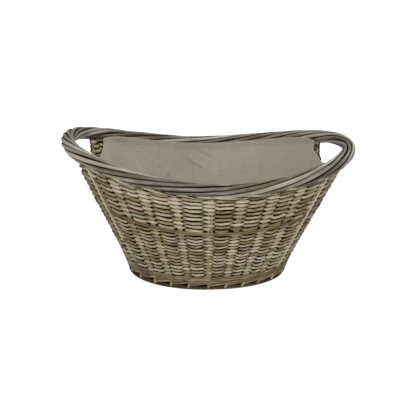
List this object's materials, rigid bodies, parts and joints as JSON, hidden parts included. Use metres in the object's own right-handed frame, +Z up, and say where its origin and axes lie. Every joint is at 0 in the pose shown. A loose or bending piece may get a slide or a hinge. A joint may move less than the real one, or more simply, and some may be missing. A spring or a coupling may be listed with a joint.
{
  "type": "wicker log basket",
  "caption": "Oval flared willow basket for logs, with a rope border that dips at the sides, handle holes under it at both ends and a fixed cloth liner.",
  "frame": {"origin": "on the floor under the middle of the basket", "axes": "+X along the basket towards the right handle, +Y across it towards the back, +Z up"},
  "size_m": [0.6, 0.474, 0.293],
  "materials": {
    "willow_weave": "antique-washed willow rods, matt with a soft sheen",
    "willow_stake": "antique-washed willow rods, matt with a soft sheen",
    "willow_border": "weathered grey-brown willow rods, satin",
    "liner_cloth": "plain-woven cotton and linen cloth, matt"
  },
  "bodies": {
    "root": {"foot_border": "willow_weave", "base_cross_sticks": "willow_stake", "base_long_sticks": "willow_stake", "base_weave": "willow_weave", "stake_1": "willow_stake", "stake_2": "willow_stake", "stake_3": "willow_stake", "stake_4": "willow_stake", "stake_5": "willow_stake", "stake_6": "willow_stake", "stake_7": "willow_stake", "stake_8": "willow_stake", "stake_9": "willow_stake", "stake_10": "willow_stake", "stake_11": "willow_stake", "stake_12": "willow_stake", "stake_13": "willow_stake", "stake_14": "willow_stake", "stake_15": "willow_stake", "stake_16": "willow_stake", "stake_17": "willow_stake", "stake_18": "willow_stake", "stake_19": "willow_stake", "stake_20": "willow_stake", "stake_21": "willow_stake", "stake_22": "willow_stake", "stake_23": "willow_stake", "stake_24": "willow_stake", "stake_25": "willow_stake", "stake_26": "willow_stake", "bye_stakes": "willow_weave", "upset_wale": "willow_weave", "lower_course_1": "willow_weave", "lower_course_2": "willow_weave", "lower_course_3": "willow_weave", "lower_course_4": "willow_weave", "lower_course_5": "willow_weave", "lower_course_6": "willow_weave", "lower_course_7": "willow_weave", "lower_course_8": "willow_weave", "middle_wale": "willow_stake", "upper_course_1": "willow_weave", "upper_course_2": "willow_weave", "upper_course_3": "willow_weave", "upper_course_4": "willow_weave", "upper_course_5": "willow_weave", "border_core": "willow_border", "border_rod_1": "willow_border", "border_rod_2": "willow_border", "border_rod_3": "willow_border", "border_rod_4": "willow_border", "border_rod_5": "willow_border", "border_rod_6": "willow_border", "border_rod_7": "willow_border", "border_rod_8": "willow_border", "liner_floor": "liner_cloth", "liner_wall": "liner_cloth"}
  },
  "joints": []
}
